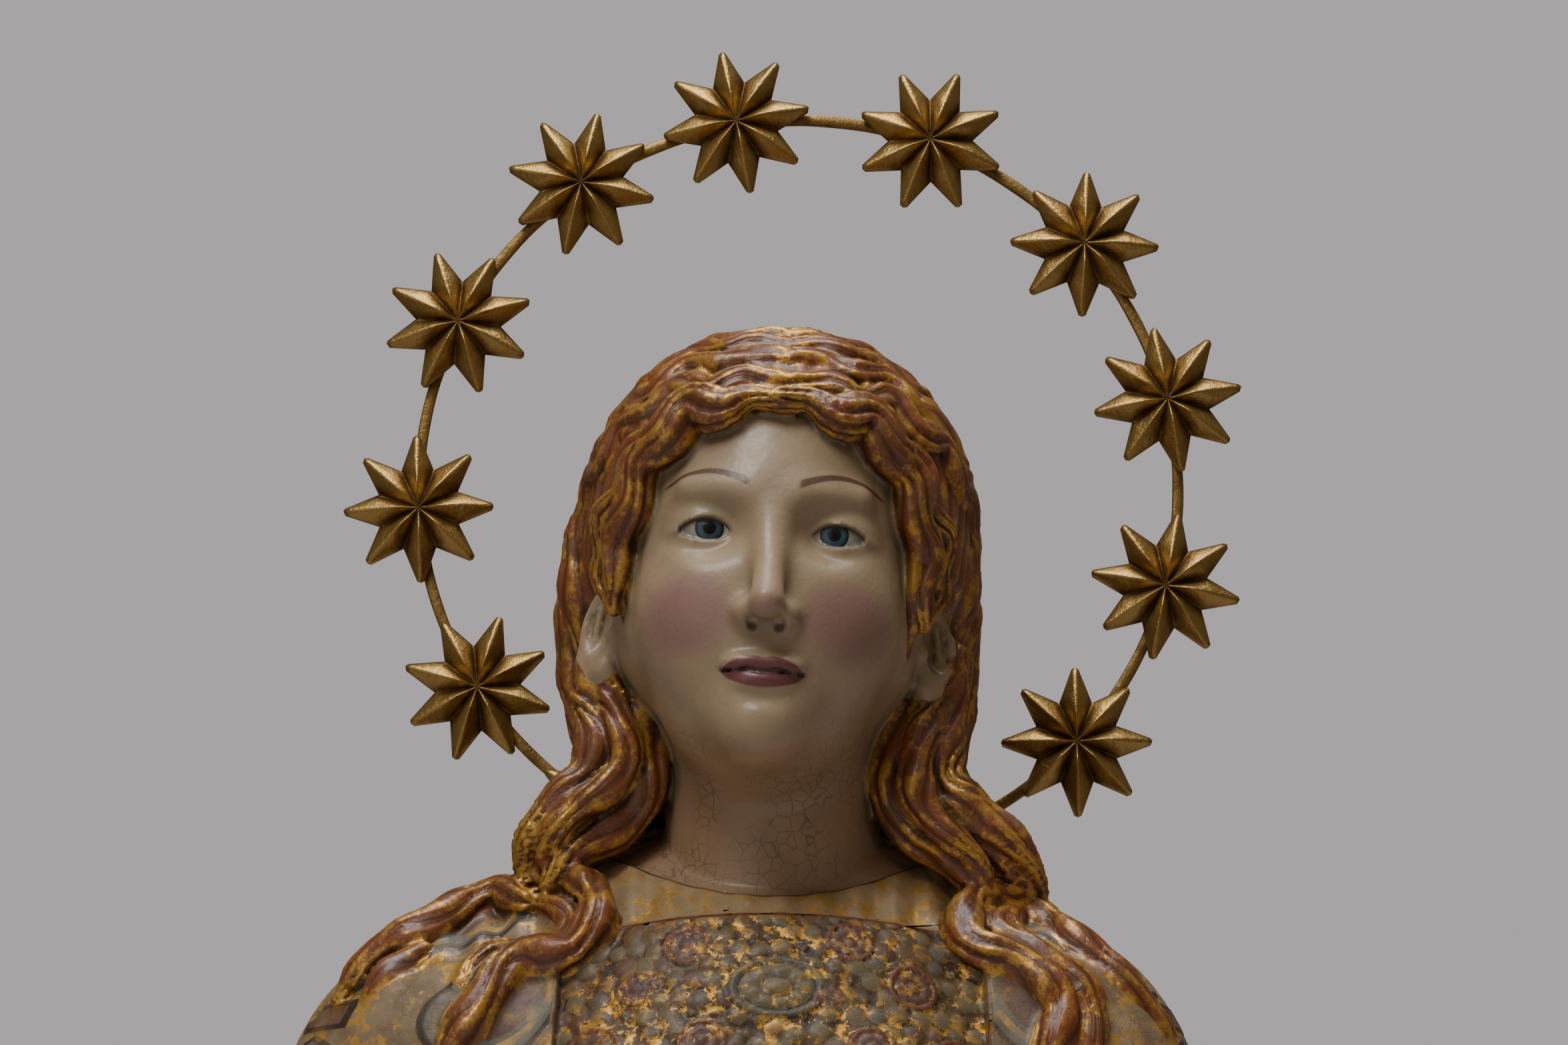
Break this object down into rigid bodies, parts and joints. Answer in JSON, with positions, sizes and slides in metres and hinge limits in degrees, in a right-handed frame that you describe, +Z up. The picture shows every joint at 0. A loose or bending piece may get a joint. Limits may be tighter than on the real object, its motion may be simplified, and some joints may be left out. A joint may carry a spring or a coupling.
{
  "type": "carved saint bust with star halo",
  "caption": "Carved, painted and gilded wooden bust of a robed holy woman with long curls, a halo ring of gilded stars standing behind the head.",
  "frame": {"origin": "middle of the flat underside of the bust", "axes": "+Z up, -Y the way the face looks, +X to the right of someone who faces the bust"},
  "size_m": [0.3782, 0.1894, 0.4631],
  "materials": {
    "painted_wood": "carved wood, gessoed, painted and gilded, under an old varnish",
    "hoop_gilding": "flat metal bar, gilded, darkened with age",
    "star_gilding": "gilt metal, rubbed bright on the ridges and brown in the valleys"
  },
  "bodies": {
    "root": {"carved_bust": "painted_wood", "halo_hoop": "hoop_gilding", "star_01": "star_gilding", "star_02": "star_gilding", "star_03": "star_gilding", "star_04": "star_gilding", "star_05": "star_gilding", "star_06": "star_gilding", "star_07": "star_gilding", "star_08": "star_gilding", "star_09": "star_gilding", "star_10": "star_gilding", "star_11": "star_gilding", "star_12": "star_gilding"}
  },
  "joints": []
}
